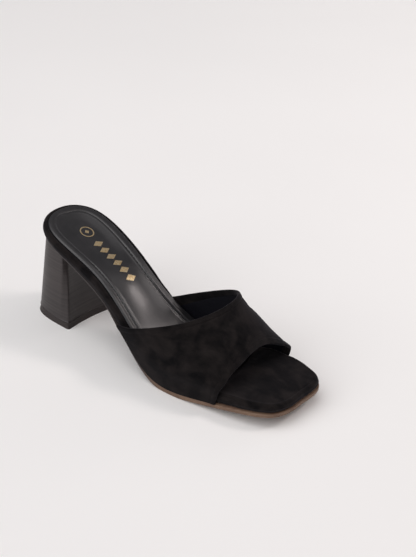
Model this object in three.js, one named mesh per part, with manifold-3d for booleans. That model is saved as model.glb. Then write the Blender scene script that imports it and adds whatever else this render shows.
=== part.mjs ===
// A right-foot mule with a square open toe, a covered insole board and a flared block heel.
// Millimetres. +X points to the toe, +Y to the wearer's left, which is the inner side of a right
// foot, and +Z up. The shoe stands on its top lift and on the flat under the ball of the foot.
import * as THREE from "three";
import Module from "manifold-3d";
import { mergeVertices } from "three/addons/utils/BufferGeometryUtils.js";

const wasm = await Module();
wasm.setup();

// Driving dimensions
const length = 230.5; // insole board, seen from above
const ballWidth = 80; // nominal width of the forefoot
const heelWidth = 56.8; // insole board over the heel
const seatHeight = 82; // top edge of the board at the back
const insteps = { collar: 63, opening: 41.5 }; // height of the band's crest at its two edges
const bandWall = 1.8; // suede, interlining and lining
const bandCrown = { height: 4.3, lean: 1.3, side: 5 }; // swell of the band between its free edges
const bandUpright = 12; // height over the board up to which the band stands straight
const bandOver = 1.4; // the band's skin stands this far outside the board edge
const footPull = 4; // power by which the shape of the band's feet dies out towards the crest
const fitGap = 0.3; // between pieces that are glued together
const edgeRound = 2.2; // radius of the board's covered upper edge
const outsoleThickness = { waist: 1.3, ball: 4.1, toe: 3 }; // cut flat where the ball meets the floor
const sockThickness = 1.9;
const sockMargin = 3.7; // from the board edge to the sock
const sockEnd = 176; // how far the sock and its seat reach, hidden under the band
const sockRecess = { deep: 1.4, shallow: 0.3 }; // the seat's depth under the sock and ahead of it
const heelCup = { depth: 2.5, full: 40, gone: 85 }; // hollow under the wearer's heel
const topLiftThickness = 5;

// Mesh resolution
const edgePoints = 88; // round the board
const acrossSteps = 4; // across a plate
const bandRows = 20; // collar to opening
const bandColumns = 30; // inner foot to outer foot

// Board edge: along is a share of the length, inner and outer are shares of half the ball width.
const boardSections = [
  { along: 0.122, inner: 0.713, outer: 0.729 },
  { along: 0.208, inner: 0.678, outer: 0.745 },
  { along: 0.312, inner: 0.57, outer: 0.769 },
  { along: 0.421, inner: 0.55, outer: 0.83 },
  { along: 0.537, inner: 0.76, outer: 0.885 },
  { along: 0.651, inner: 0.945, outer: 0.887 },
  { along: 0.746, inner: 1.073, outer: 0.806 },
  { along: 0.815, inner: 1.083, outer: 0.747 },
];

// Toe edge, from its own centre: angle is in degrees towards the inner side, reach in shares of the length.
const toeCentre = { along: 0.868, inner: 0.15 };
const toeSections = [
  { angle: 75, reach: 0.155 },
  { angle: 60, reach: 0.159 },
  { angle: 50, reach: 0.166 },
  { angle: 40, reach: 0.1675 },
  { angle: 30, reach: 0.158 },
  { angle: 15, reach: 0.14 },
  { angle: 0, reach: 0.132 },
  { angle: -15, reach: 0.135 },
  { angle: -30, reach: 0.14 },
  { angle: -45, reach: 0.144 },
  { angle: -60, reach: 0.141 },
  { angle: -75, reach: 0.14 },
];

// Side view: feather is the height of the board's lower edge and board the depth of its covered
// edge, both as shares of the seat height.
const profileSections = [
  { along: 0, feather: 0.923, board: 0.091 },
  { along: 0.109, feather: 0.837, board: 0.096 },
  { along: 0.217, feather: 0.729, board: 0.104 },
  { along: 0.325, feather: 0.59, board: 0.113 },
  { along: 0.434, feather: 0.357, board: 0.119 },
  { along: 0.543, feather: 0.105, board: 0.128 },
  { along: 0.604, feather: 0.051, board: 0.129 },
  { along: 0.651, feather: 0.048, board: 0.126 },
  { along: 0.759, feather: 0.078, board: 0.112 },
  { along: 0.89, feather: 0.132, board: 0.095 },
  { along: 1, feather: 0.161, board: 0.074 },
];

// The band's two free edges, from the inner foot over the crest to the outer foot. along is a share
// of the length, side a share of half the ball width, rise a share of that edge's instep height.
const collarSections = [
  { along: 0.418, side: 0.568, rise: 0.5 },
  { along: 0.475, side: 0.673, rise: 0.606 },
  { along: 0.553, side: 0.808, rise: 0.746 },
  { along: 0.644, side: 0.83, rise: 0.911 },
  { along: 0.692, side: 0.618, rise: 0.997 },
  { along: 0.7045, side: 0.205, rise: 1 },
  { along: 0.68, side: -0.228, rise: 0.943 },
  { along: 0.621, side: -0.588, rise: 0.838 },
  { along: 0.532, side: -0.808, rise: 0.695 },
  { along: 0.468, side: -0.845, rise: 0.594 },
  { along: 0.41, side: -0.823, rise: 0.527 },
];
const openingSections = [
  { along: 0.843, side: 1.078, rise: 0.173 },
  { along: 0.854, side: 1.08, rise: 0.427 },
  { along: 0.857, side: 0.998, rise: 0.634 },
  { along: 0.855, side: 0.835, rise: 0.781 },
  { along: 0.849, side: 0.618, rise: 0.892 },
  { along: 0.842, side: 0.38, rise: 0.964 },
  { along: 0.84, side: 0.128, rise: 1 },
  { along: 0.84, side: -0.123, rise: 0.988 },
  { along: 0.836, side: -0.358, rise: 0.916 },
  { along: 0.827, side: -0.568, rise: 0.79 },
  { along: 0.818, side: -0.728, rise: 0.612 },
  { along: 0.808, side: -0.828, rise: 0.412 },
  { along: 0.802, side: -0.828, rise: 0.186 },
];

// Heel block, at the floor and where it meets the board. back and breast are distances from the
// back of the board, centre is the block's offset to the inner side, and slant is how much further
// forward the breast's inner corner lies than its middle.
const heelSections = {
  floor: { height: 0, back: -3.2, breast: 41.2, width: 49.2, centre: -2.2, slant: 2.2 },
  seat: { height: 66, back: 2.9, breast: 29.8, width: 43, centre: -0.2, slant: 1.1 },
};
const heelRoundness = 3.7; // superellipse power of the block's plan
const breastHollow = 2.2; // depth of the curve in the heel's front face

// Stretches along x over which a shape changes smoothly from one form to the next
const bandReach = { from: 84, full: 94.5, ends: 196, gone: 203 }; // where the board is drawn in
const rimDrop = { from: 97, full: 105, ends: sockEnd, gone: sockEnd + 8 }; // where its rim is let down
const solePlump = { from: 100, full: 138, ends: 150, gone: 200 }; // where the outsole is thickest
// How far the outsole's edge stands outside the board edge
const soleEdge = [
  { from: 0, full: 1, over: -1.2 },
  { from: 36, full: 62, over: -0.2 },
  { from: 82, full: 97, over: 1 },
];

const colours = {
  suede: "#2b2a2b",
  sock: "#2e2d30",
  outsole: "#4f4540",
  heel: "#4a4242",
  topLift: "#2f2a2a",
};

function material(colour, roughness) {
  return new THREE.MeshStandardMaterial({ color: colour, roughness, metalness: 0 });
}

function mix(a, b, share) {
  return a + (b - a) * share;
}

function smoothStep(value, from, to) {
  const t = Math.min(Math.max((value - from) / (to - from), 0), 1);
  return t * t * (3 - 2 * t);
}

// Natural cubic through one column of a table, as a function of another column.
function tableCurve(rows, at, column) {
  const x = rows.map((row) => row[at]);
  const y = rows.map((row) => row[column]);
  const last = x.length - 1;
  const bend = new Array(last + 1).fill(0);
  const carry = new Array(last + 1).fill(0);
  for (let i = 1; i < last; i++) {
    const share = (x[i] - x[i - 1]) / (x[i + 1] - x[i - 1]);
    const pivot = share * bend[i - 1] + 2;
    const slopeAfter = (y[i + 1] - y[i]) / (x[i + 1] - x[i]);
    const slopeBefore = (y[i] - y[i - 1]) / (x[i] - x[i - 1]);
    bend[i] = (share - 1) / pivot;
    carry[i] = ((6 * (slopeAfter - slopeBefore)) / (x[i + 1] - x[i - 1]) - share * carry[i - 1]) / pivot;
  }
  const second = new Array(last + 1).fill(0);
  for (let i = last - 1; i > 0; i--) second[i] = bend[i] * second[i + 1] + carry[i];
  return (value) => {
    let i = 0;
    while (i < last - 1 && value > x[i + 1]) i++;
    const h = x[i + 1] - x[i];
    const a = (x[i + 1] - value) / h;
    const b = 1 - a;
    return a * y[i] + b * y[i + 1] + (((a ** 3 - a) * second[i] + (b ** 3 - b) * second[i + 1]) * h * h) / 6;
  };
}

const featherShare = tableCurve(profileSections, "along", "feather");
const boardShare = tableCurve(profileSections, "along", "board");
const within = (x) => Math.min(Math.max(x / length, 0), 1);
const featherHeight = (x) => seatHeight * featherShare(within(x));
const boardTop = (x) => featherHeight(x) + seatHeight * boardShare(within(x));

// Closed edge of the board: a superellipse round the heel, the inner side, the toe, the outer side.
function boardEdge() {
  const half = ballWidth / 2;
  const radius = heelWidth / 2;
  const heelPower = 2.2;
  const heelTurns = [20, 43, 66].map(THREE.MathUtils.degToRad); // from the back of the board
  const points = [];
  const heelPoint = (turn, side) => {
    const ahead = radius * Math.cos(turn) ** (2 / heelPower);
    points.push(new THREE.Vector3(radius - ahead, side * radius * Math.sin(turn) ** (2 / heelPower), 0));
  };
  points.push(new THREE.Vector3(0, 0, 0));
  for (const turn of heelTurns) heelPoint(turn, 1);
  for (const row of boardSections) points.push(new THREE.Vector3(row.along * length, row.inner * half, 0));
  for (const row of toeSections) {
    const turn = THREE.MathUtils.degToRad(row.angle);
    const x = (toeCentre.along + row.reach * Math.cos(turn)) * length;
    const y = toeCentre.inner * half + row.reach * length * Math.sin(turn);
    points.push(new THREE.Vector3(x, y, 0));
  }
  for (const row of [...boardSections].reverse()) {
    points.push(new THREE.Vector3(row.along * length, -row.outer * half, 0));
  }
  for (const turn of [...heelTurns].reverse()) heelPoint(turn, -1);
  const curve = new THREE.CatmullRomCurve3(points, true, "centripetal");
  curve.arcLengthDivisions = 1200;
  return curve.getSpacedPoints(edgePoints).slice(0, edgePoints);
}

const edge = boardEdge();

// The edge moved inwards, square to itself, by inset(x) at each point.
function insetEdge(inset) {
  return edge.map((point, i) => {
    const before = edge[(i + edgePoints - 1) % edgePoints];
    const after = edge[(i + 1) % edgePoints];
    const along = new THREE.Vector2(after.x - before.x, after.y - before.y).normalize();
    const depth = inset(point.x);
    return new THREE.Vector3(point.x + along.y * depth, point.y - along.x * depth, 0);
  });
}

// Place across the shoe of the board edge at x, on the inner (side 1) or outer (side -1) side.
function edgeAt(x, side) {
  const toe = edgePoints / 2;
  const half = side > 0 ? edge.slice(0, toe + 1) : [...edge.slice(toe), edge[0]].reverse();
  let i = 0;
  while (i < half.length - 2 && half[i + 1].x < x) i++;
  const share = Math.min(Math.max((x - half[i].x) / (half[i + 1].x - half[i].x), 0), 1);
  return mix(half[i].y, half[i + 1].y, share);
}

// Closed body from its points and quads or triangles, with the faces turned outwards.
function closedBody(points, faces) {
  const triangles = faces.flatMap((f) => (f.length === 4 ? [f[0], f[1], f[2], f[0], f[2], f[3]] : f));
  let volume = 0;
  for (let i = 0; i < triangles.length; i += 3) {
    const [a, b, c] = [points[triangles[i]], points[triangles[i + 1]], points[triangles[i + 2]]];
    volume += a.dot(new THREE.Vector3().crossVectors(b, c));
  }
  if (volume < 0) triangles.reverse();
  const geometry = new THREE.BufferGeometry();
  geometry.setAttribute("position", new THREE.Float32BufferAttribute(points.flatMap((p) => p.toArray()), 3));
  geometry.setIndex(triangles);
  return geometry;
}

// Plate: a stack of closed rings { inset(x), height(x) } from the underside round the edge to the top,
// closed below and above by rungs from side to side whose height is under(x, across) or over(x, across).
function plate(rings, under, over) {
  const points = [];
  const faces = [];
  for (const ring of rings) {
    for (const point of insetEdge(ring.inset)) {
      points.push(new THREE.Vector3(point.x, point.y, ring.height(point.x)));
    }
  }
  for (let r = 0; r + 1 < rings.length; r++) {
    for (let i = 0; i < edgePoints; i++) {
      const next = (i + 1) % edgePoints;
      const low = r * edgePoints;
      const high = low + edgePoints;
      faces.push([low + i, low + next, high + next, high + i]);
    }
  }
  const cap = (start, height, turned) => {
    const rungs = edgePoints / 2;
    const rows = [];
    for (let k = 1; k < rungs; k++) {
      const inner = points[start + k];
      const outer = points[start + edgePoints - k];
      const row = [start + k];
      for (let j = 1; j < acrossSteps; j++) {
        const spot = inner.clone().lerp(outer, j / acrossSteps);
        spot.z = height(spot.x, 1 - (2 * j) / acrossSteps);
        row.push(points.push(spot) - 1);
      }
      row.push(start + edgePoints - k);
      rows.push(row);
    }
    const add = (face) => faces.push(turned ? [...face].reverse() : face);
    for (let j = 0; j < acrossSteps; j++) {
      add([start, rows[0][j], rows[0][j + 1]]);
      add([start + rungs, rows[rungs - 2][j + 1], rows[rungs - 2][j]]);
      for (let k = 0; k + 1 < rows.length; k++) {
        add([rows[k][j], rows[k + 1][j], rows[k + 1][j + 1], rows[k][j + 1]]);
      }
    }
  };
  cap(0, under, true);
  cap((rings.length - 1) * edgePoints, over, false);
  return closedBody(points, faces);
}

// Straight-sided body between two rings of the same number of points, with flat ends.
function taperedBlock(lower, upper) {
  const count = lower.length;
  const points = [...lower, ...upper];
  const faces = [];
  for (let i = 0; i < count; i++) {
    const next = (i + 1) % count;
    faces.push([i, next, count + next, count + i]);
    if (i > 0 && next > 0) {
      faces.push([0, next, i]);
      faces.push([count, count + i, count + next]);
    }
  }
  return closedBody(points, faces);
}

function solid(geometry) {
  const bare = mergeVertices(geometry, 1e-5);
  const vertProperties = new Float32Array(bare.getAttribute("position").array);
  const triVerts = new Uint32Array(bare.getIndex().array);
  return new wasm.Manifold(new wasm.Mesh({ numProp: 3, vertProperties, triVerts }));
}

function geometryOf(manifold) {
  const mesh = manifold.getMesh();
  const geometry = new THREE.BufferGeometry();
  geometry.setAttribute("position", new THREE.BufferAttribute(new Float32Array(mesh.vertProperties), 3));
  geometry.setIndex(new THREE.BufferAttribute(new Uint32Array(mesh.triVerts), 1));
  return geometry;
}

// Share from 0 to 1 and back along a stretch { from, full, ends, gone }.
function during(x, stretch) {
  return smoothStep(x, stretch.from, stretch.full) * (1 - smoothStep(x, stretch.ends, stretch.gone));
}

// The board is drawn in under the band, so that the band's wall fits outside it.
function boardInset(x) {
  return (bandWall - bandOver + fitGap) * during(x, bandReach);
}

// Seat for the sock: it is let into the board's top as far as the middle of the forefoot.
function recess(x) {
  return mix(sockRecess.deep, sockRecess.shallow, smoothStep(x, sockEnd + 3, sockEnd + 9));
}
// Under the band the rim round that seat is let down too, so that the sock reaches the lining.
function rimHeight(x) {
  return boardTop(x) - recess(x) * during(x, rimDrop);
}
function cup(x, across) {
  return heelCup.depth * (1 - smoothStep(x, heelCup.full, heelCup.gone)) * (1 - across * across);
}
const boardFace = (x, across) => boardTop(x) - recess(x) - cup(x, across);

// Insole board: rounded below and above its upright edge, with a small step down to the sock's seat.
function insole() {
  const under = (x) => featherHeight(x) + fitGap / 2;
  const shoulder = 0.27 * edgeRound; // inset and drop of the middle of a rounding
  const step = 0.6;
  const leastStep = 0.01;
  const ring = (inset, height) => ({ inset: (x) => boardInset(x) + inset, height });
  const rings = [
    ring(2 * edgeRound + step, under),
    ring(1.4, (x) => featherHeight(x) + shoulder),
    ring(0, (x) => featherHeight(x) + edgeRound),
    ring(0, (x) => rimHeight(x) - edgeRound),
    ring(shoulder, (x) => rimHeight(x) - shoulder),
    ring(edgeRound, (x) => Math.max(rimHeight(x), boardFace(x, 1) + leastStep)),
    ring(edgeRound + step, (x) => boardFace(x, 1)),
  ];
  return plate(rings, under, boardFace);
}

// Sock: a plate over the seat with chamfered edges, cut to a shallow curve at its front end.
function sock() {
  const bow = 12; // the front end runs this far back at the sides
  const clear = 20; // the cutter's reach beyond the shoe
  const lift = (height) => (x, across) => boardFace(x, across) + fitGap + height;
  const edgeHeight = (height) => (x) => lift(height)(x, 1);
  const rings = [
    { inset: () => sockMargin + 0.4, height: edgeHeight(0) },
    { inset: () => sockMargin, height: edgeHeight(sockThickness * 0.55) },
    { inset: () => sockMargin + 0.9, height: edgeHeight(sockThickness) },
  ];
  const whole = solid(plate(rings, lift(0), lift(sockThickness)));
  const outline = new THREE.Shape();
  outline.moveTo(-clear, -ballWidth);
  outline.lineTo(sockEnd - bow, -ballWidth);
  outline.quadraticCurveTo(sockEnd + bow, 0, sockEnd - bow, ballWidth);
  outline.lineTo(-clear, ballWidth);
  const cutter = { depth: seatHeight + clear, bevelEnabled: false, curveSegments: 10 };
  const keep = new THREE.ExtrudeGeometry(outline, cutter);
  keep.deleteAttribute("normal");
  keep.deleteAttribute("uv");
  return geometryOf(whole.intersect(solid(keep)));
}

// Size of the heel block at a height, for any column of its table.
function heelSize(height) {
  const share = height / heelSections.seat.height;
  return (column) => mix(heelSections.floor[column], heelSections.seat[column], share);
}

// Front face of the heel as a cutter: everything ahead of a hollow face that leans back as it rises.
function aheadOfBreast(gap) {
  const steps = 16;
  const clear = 5; // the cutter's reach below the floor and outside the heel
  const ring = (height) => {
    const size = heelSize(height);
    const reach = heelWidth / 2 + clear;
    const points = [];
    for (let i = 0; i <= steps; i++) {
      const y = reach * (1 - (2 * i) / steps);
      const spread = (y - size("centre")) / (size("width") / 2);
      const x = size("breast") + size("slant") * spread - breastHollow * (1 - spread * spread) + gap;
      points.push(new THREE.Vector3(x, y, height));
    }
    const far = length + ballWidth;
    points.push(new THREE.Vector3(far, -ballWidth, height), new THREE.Vector3(far, ballWidth, height));
    return points;
  };
  return solid(taperedBlock(ring(-clear), ring(1.3 * seatHeight)));
}

// Outsole: a sheet under the board, flat on the floor under the ball, up to the heel's front face.
function outsole() {
  const bevel = 0.9;
  const thin = (x) => (x < solePlump.full ? outsoleThickness.waist : outsoleThickness.toe);
  const thickness = (x) => mix(thin(x), outsoleThickness.ball, during(x, solePlump));
  const overhang = (x) =>
    soleEdge.reduce((over, row) => mix(over, row.over, smoothStep(x, row.from, row.full)), soleEdge[0].over);
  const top = (x) => featherHeight(x) - fitGap / 2;
  const tread = (x) => Math.max(0, top(x) - thickness(x));
  const rings = [
    { inset: (x) => bevel - overhang(x), height: tread },
    { inset: (x) => -overhang(x), height: (x) => mix(tread(x), top(x), 0.25) },
    { inset: (x) => -overhang(x), height: top },
  ];
  const whole = solid(plate(rings, tread, top));
  return geometryOf(whole.intersect(aheadOfBreast(fitGap)));
}

// Plan of the heel block at a height, as a closed superellipse that runs on past the breast.
function heelPlan(height) {
  const size = heelSize(height);
  const reach = size("breast") - size("back");
  const points = [];
  const steps = 48;
  const squarish = (value) => Math.sign(value) * Math.abs(value) ** (2 / heelRoundness);
  for (let i = 0; i < steps; i++) {
    const turn = (2 * Math.PI * i) / steps;
    const ahead = squarish(Math.cos(turn));
    const side = squarish(Math.sin(turn));
    const x = size("breast") + reach * ahead + size("slant") * side * (1 + Math.min(ahead, 0));
    points.push(new THREE.Vector3(x, size("centre") + (side * size("width")) / 2, height));
  }
  return points;
}

function heelPiece(from, to) {
  const block = solid(taperedBlock(heelPlan(from), heelPlan(to)));
  return block.subtract(aheadOfBreast(0));
}

// Heel block, cut to the slope of the board's underside.
function heel() {
  const outside = -12; // the cutter stands this far outside the board
  const seat = (x) => featherHeight(x) - fitGap / 2;
  const over = () => 1.5 * seatHeight;
  const rings = [
    { inset: () => outside, height: seat },
    { inset: () => outside, height: over },
  ];
  const above = solid(plate(rings, seat, over));
  return geometryOf(heelPiece(topLiftThickness + fitGap, 1.07 * seatHeight).subtract(above));
}

function topLift() {
  return geometryOf(heelPiece(0, topLiftThickness));
}

// The band is a patch stretched between four edges: collar, opening, and a foot on each side that
// follows the board edge. It swells between them, away from a line low over the board, and its lower
// part stands straight up against the board before it leans.
function bandSkin() {
  const half = ballWidth / 2;
  const edgePull = 6; // power by which a free edge's correction dies out from its end
  const space = (rows, instep) => {
    const spot = (row) => new THREE.Vector3(row.along * length, row.side * half, row.rise * instep);
    const points = rows.map(spot);
    const curve = new THREE.CatmullRomCurve3(points, false, "centripetal");
    curve.arcLengthDivisions = 400;
    return curve;
  };
  const collar = space(collarSections, insteps.collar);
  const opening = space(openingSections, insteps.opening);
  const footHeight = (x) => featherHeight(x) + fitGap / 2;
  const foot = (side, share) => {
    const end = side > 0 ? 0 : 1;
    const x = mix(collar.getPoint(end).x, opening.getPoint(end).x, share);
    return new THREE.Vector3(x, edgeAt(x, side) + side * bandOver, footHeight(x));
  };
  const pinned = (curve, share, at) => {
    const spot = curve.getPointAt(at);
    const innerPull = (1 - at) ** edgePull;
    const outerPull = at ** edgePull;
    const innerMiss = foot(1, share).sub(curve.getPointAt(0));
    const outerMiss = foot(-1, share).sub(curve.getPointAt(1));
    return spot.addScaledVector(innerMiss, innerPull).addScaledVector(outerMiss, outerPull);
  };
  const skin = [];
  for (let r = 0; r <= bandRows; r++) {
    const s = r / bandRows;
    const row = [];
    for (let c = 0; c <= bandColumns; c++) {
      const t = c / bandColumns;
      const spot = pinned(collar, 0, t).lerp(pinned(opening, 1, t), s);
      const straight = { inner: foot(1, 0).lerp(foot(1, 1), s), outer: foot(-1, 0).lerp(foot(-1, 1), s) };
      spot.addScaledVector(foot(1, s).sub(straight.inner), (1 - t) ** footPull);
      spot.addScaledVector(foot(-1, s).sub(straight.outer), t ** footPull);
      const outwards = new THREE.Vector3(0, spot.y - bandCrown.side, spot.z - boardTop(spot.x)).normalize();
      const swell = Math.sin(Math.PI * s ** bandCrown.lean) * Math.sin(Math.PI * t);
      spot.addScaledVector(outwards, bandCrown.height * swell);
      const side = t < 0.5 ? 1 : -1;
      const upright = 1 - smoothStep(spot.z - boardTop(spot.x), 0, bandUpright);
      spot.y = mix(spot.y, edgeAt(spot.x, side) + side * bandOver, upright);
      row.push(spot);
    }
    skin.push(row);
  }
  return skin;
}

// Upper: the band's skin and a lining one wall inside it, joined round all four edges.
function upper() {
  const skin = bandSkin();
  const clampRow = (r) => Math.min(Math.max(r, 0), bandRows);
  const clampColumn = (c) => Math.min(Math.max(c, 0), bandColumns);
  const lining = skin.map((row, r) =>
    row.map((spot, c) => {
      const down = skin[clampRow(r + 1)][c].clone().sub(skin[clampRow(r - 1)][c]);
      const across = skin[r][clampColumn(c + 1)].clone().sub(skin[r][clampColumn(c - 1)]);
      const inwards = down.cross(across).normalize();
      if (c === 0 || c === bandColumns) inwards.setZ(0).normalize();
      return spot.clone().addScaledVector(inwards, bandWall);
    }),
  );
  const wide = bandColumns + 1;
  const points = [...skin.flat(), ...lining.flat()];
  const under = skin.length * wide;
  const faces = [];
  const quad = (a, b, c, d) => faces.push([a, b, c, d]);
  for (let r = 0; r < bandRows; r++) {
    for (let c = 0; c < bandColumns; c++) {
      const at = r * wide + c;
      quad(at, at + 1, at + wide + 1, at + wide);
      quad(under + at + wide, under + at + wide + 1, under + at + 1, under + at);
    }
    for (const [c, step] of [[0, 1], [bandColumns, -1]]) {
      const at = r * wide + c;
      const face = [at + wide, under + at + wide, under + at, at];
      faces.push(step > 0 ? face : face.reverse());
    }
  }
  for (let c = 0; c < bandColumns; c++) {
    quad(c + 1, c, under + c, under + c + 1);
    const at = bandRows * wide + c;
    quad(at, at + 1, under + at + 1, under + at);
  }
  return closedBody(points, faces);
}

const shoe = new THREE.Group();
function addPiece(name, geometry, look) {
  const mesh = new THREE.Mesh(geometry, look);
  mesh.name = name;
  shoe.add(mesh);
}
addPiece("outsole", outsole(), material(colours.outsole, 0.6));
addPiece("insole", insole(), material(colours.suede, 0.95));
addPiece("sock", sock(), material(colours.sock, 0.4));
addPiece("upper", upper(), material(colours.suede, 0.95));
addPiece("heel", heel(), material(colours.heel, 0.5));
addPiece("top_lift", topLift(), material(colours.topLift, 0.7));

// Origin: middle of the bounding box, on the floor.
const box = new THREE.Box3().setFromObject(shoe);
const middle = box.getCenter(new THREE.Vector3());
shoe.position.set(-middle.x, -middle.y, -box.min.z);

export default shoe;
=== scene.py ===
import math

import bmesh
import bpy
import numpy as np
from mathutils import Matrix, Vector


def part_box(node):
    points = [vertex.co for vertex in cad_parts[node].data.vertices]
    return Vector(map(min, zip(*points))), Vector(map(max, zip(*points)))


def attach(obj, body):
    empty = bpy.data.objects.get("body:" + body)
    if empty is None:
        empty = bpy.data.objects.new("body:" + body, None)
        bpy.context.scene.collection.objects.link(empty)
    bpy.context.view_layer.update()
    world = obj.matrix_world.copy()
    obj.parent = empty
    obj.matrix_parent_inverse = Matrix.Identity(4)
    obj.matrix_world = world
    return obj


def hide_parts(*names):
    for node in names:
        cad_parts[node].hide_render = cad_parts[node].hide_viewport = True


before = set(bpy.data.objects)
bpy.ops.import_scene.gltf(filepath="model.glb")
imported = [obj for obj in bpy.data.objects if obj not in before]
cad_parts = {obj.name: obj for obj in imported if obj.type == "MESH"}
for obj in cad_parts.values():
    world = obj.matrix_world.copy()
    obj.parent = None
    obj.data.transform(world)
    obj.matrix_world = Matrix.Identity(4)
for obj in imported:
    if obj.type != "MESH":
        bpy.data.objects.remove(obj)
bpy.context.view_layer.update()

# A right-foot block-heel mule. Sizes are in millimetres in the last's own frame: x from the back
# of the heel seat to the toe, y to the inner side, z up from the floor. lastPlace puts that frame
# into the row's frame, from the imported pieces.
mm = 0.001
boardLow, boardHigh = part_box("insole")
liftLow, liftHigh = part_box("top_lift")
heelCentre = -2.2  # of the top lift, to the inner side
lastPlace = np.array([boardLow.x, (liftLow.y + liftHigh.y) / 2 - heelCentre * mm, 0.0])
boardLength = (boardHigh.x - boardLow.x) / mm

last = {
    "ballWidth": 80,
    "heelWidth": 56.8,
    "heelSquareness": 2.2,
    "seatHeight": 82,
    "points": 300,  # along each side of a plate
    "heelTurn": (0.35, 0.75, 1.15),  # places round the heel's arc, in radians from its back
    # board edge: share of the length, then half widths as shares of half the ball width
    "along": (0.122, 0.208, 0.312, 0.421, 0.537, 0.651, 0.746, 0.815),
    "inner": (0.713, 0.678, 0.57, 0.55, 0.76, 0.945, 1.073, 1.083),
    "outer": (0.729, 0.745, 0.769, 0.83, 0.885, 0.887, 0.806, 0.747),
    # toe edge: degrees to the inner side from the toe's own centre, reach in shares of the length
    "toeCentre": (0.868, 0.15),
    "toeAngle": (75, 60, 50, 40, 30, 15, 0, -15, -30, -45, -60, -75),
    "toeReach": (0.155, 0.159, 0.166, 0.1675, 0.158, 0.14, 0.132, 0.135, 0.14, 0.144, 0.141, 0.14),
    # side view: height of the board's lower edge and depth of its covered edge, shares of seatHeight
    "stations": (0, 0.109, 0.217, 0.325, 0.434, 0.543, 0.604, 0.651, 0.759, 0.89, 1),
    "feather": (0.923, 0.837, 0.729, 0.59, 0.357, 0.105, 0.051, 0.048, 0.078, 0.132, 0.161),
    "board": (0.091, 0.096, 0.104, 0.113, 0.119, 0.128, 0.129, 0.126, 0.112, 0.095, 0.074),
}


def smoothStep(value, start, end):
    # 0 before start, 1 after end, 3t^2 - 2t^3 between
    t = np.clip((np.asarray(value, float) - start) / (end - start), 0, 1)
    return t * t * (3 - 2 * t)


def mix(a, b, share):
    # straight line from a to b
    return a + (b - a) * share


def bell(value, middle, width):
    # 1 at middle, falling to 0.37 one width away
    return np.exp(-(((value - middle) / width) ** 2))


def splineBends(knots, values, closed=False):
    # second derivatives of the cubic through the knots: each row of the matrix says that the slope
    # is the same on both sides of a knot; a closed curve's last knot repeats its first
    h = np.diff(knots)
    slopes = np.diff(values, axis=0) / h[:, None]
    count = len(knots)
    a = np.eye(count)
    b = np.zeros_like(values, dtype=float)
    i = np.arange(1, count - 1)
    a[i, i - 1], a[i, i], a[i, i + 1] = h[i - 1], 2 * (h[i - 1] + h[i]), h[i]
    b[i] = 6 * (slopes[i] - slopes[i - 1])
    if closed:
        a[0, -1] = -1
        a[-1, :] = 0
        a[-1, 0], a[-1, 1], a[-1, -2], a[-1, -1] = 2 * h[0], h[0], h[-1], 2 * h[-1]
        b[-1] = 6 * (slopes[0] - slopes[-1])
    return np.linalg.solve(a, b)


def spline(knots, values, closed=False):
    # cubic through the knots, as a function of an array of parameters
    knots = np.asarray(knots, float)
    values = np.asarray(values, float)
    flat = values.ndim == 1
    table = values[:, None] if flat else values
    bends = splineBends(knots, table, closed)

    def at(where):
        where = np.asarray(where, float)
        i = np.clip(np.searchsorted(knots, where) - 1, 0, len(knots) - 2)
        h = knots[i + 1] - knots[i]
        b = ((where - knots[i]) / h)[..., None]
        a = 1 - b
        curve = a * table[i] + b * table[i + 1]
        curve = curve + ((a**3 - a) * bends[i] + (b**3 - b) * bends[i + 1]) * (h**2)[..., None] / 6
        return curve[..., 0] if flat else curve

    return at


def evenly(points, count):
    # the polyline resampled to count points, equally far apart along it
    steps = np.linalg.norm(np.diff(points, axis=0), axis=1)
    run = np.concatenate([[0], np.cumsum(steps)])
    where = np.linspace(0, run[-1], count)
    return np.stack([np.interp(where, run, points[:, k]) for k in range(points.shape[1])], -1)


def curveThrough(points, closed=False, samples=3000):
    # smooth curve by chord length through a few points, as many samples equally far apart
    points = np.asarray(points, float)
    if closed:
        points = np.vstack([points, points[:1]])
    chords = np.sqrt(np.linalg.norm(np.diff(points, axis=0), axis=1))
    knots = np.concatenate([[0], np.cumsum(chords)])
    return evenly(spline(knots, points, closed)(np.linspace(0, knots[-1], samples * 2)), samples)


def boardEdge():
    # squarish arc round the heel, the inner side, the toe by angle and reach, the outer side
    half = last["ballWidth"] / 2
    radius = last["heelWidth"] / 2
    turn = np.array(last["heelTurn"])
    power = 2 / last["heelSquareness"]
    heelX = radius - radius * np.cos(turn) ** power
    heelY = radius * np.sin(turn) ** power
    sideX = np.array(last["along"]) * boardLength
    angle = np.radians(last["toeAngle"])
    reach = np.array(last["toeReach"]) * boardLength
    toeX = last["toeCentre"][0] * boardLength + reach * np.cos(angle)
    toeY = last["toeCentre"][1] * half + reach * np.sin(angle)
    inner = np.array(last["inner"]) * half
    outer = -np.array(last["outer"]) * half
    x = np.concatenate([[0], heelX, sideX, toeX, sideX[::-1], heelX[::-1]])
    y = np.concatenate([[0], heelY, inner, toeY, outer[::-1], -heelY[::-1]])
    return curveThrough(np.stack([x, y], -1), closed=True)


edge = boardEdge()
stationX = np.array(last["stations"]) * boardLength
featherCurve = spline(stationX, np.array(last["feather"]) * last["seatHeight"])
boardCurve = spline(stationX, np.array(last["board"]) * last["seatHeight"])


def featherHeight(x):
    # the board's lower edge, level beyond its ends
    return featherCurve(np.clip(x, 0, boardLength))


def boardTop(x):
    # lower edge plus the depth of the covered edge
    return featherHeight(x) + boardCurve(np.clip(x, 0, boardLength))


tip = int(np.argmax(edge[:, 0]))


def bothSides(path):
    # a ring with the edge's points, cut into its inner and its outer side, both from the heel
    return path[: tip + 1], np.vstack([path[tip:], path[:1]])[::-1]


innerEdge, outerEdge = bothSides(edge)


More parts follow.
